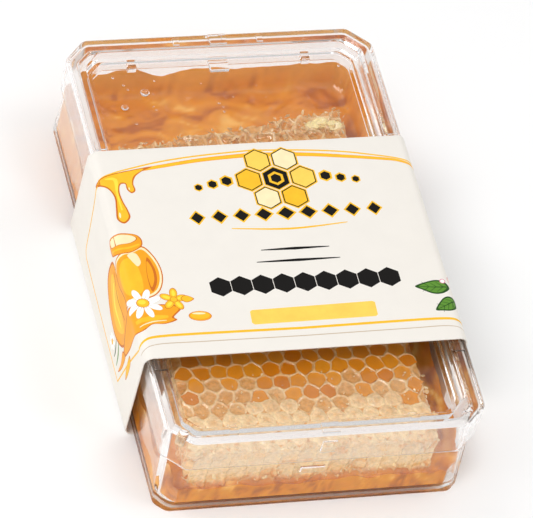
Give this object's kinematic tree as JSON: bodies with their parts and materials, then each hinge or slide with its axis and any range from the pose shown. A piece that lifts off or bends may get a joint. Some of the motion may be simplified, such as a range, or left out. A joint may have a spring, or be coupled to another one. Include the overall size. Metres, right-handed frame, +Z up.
{
  "type": "honeycomb pack",
  "caption": "Shut clear rectangular box of cut honeycomb in honey, with a plain printed paper sleeve wrapped round its middle.",
  "frame": {"origin": "middle of the pack's footprint, on the surface it stands on, at the underside of the sleeve", "axes": "+Y along the box's length towards its back, +X to the right, +Z up through the lid"},
  "size_m": [0.094, 0.1468, 0.0344],
  "materials": {
    "clear_base": "clear moulded polystyrene, polished",
    "clear_lid": "clear moulded polystyrene, polished",
    "sleeve_paper": "smooth warm white card with gold print",
    "wax": "pale beeswax cells filled with amber honey, moist",
    "honey": "wet amber honey"
  },
  "bodies": {
    "root": {"box_base": "clear_base", "box_lid": "clear_lid", "paper_sleeve": "sleeve_paper", "honeycomb_block": "wax", "honey_pool": "honey"}
  },
  "joints": []
}
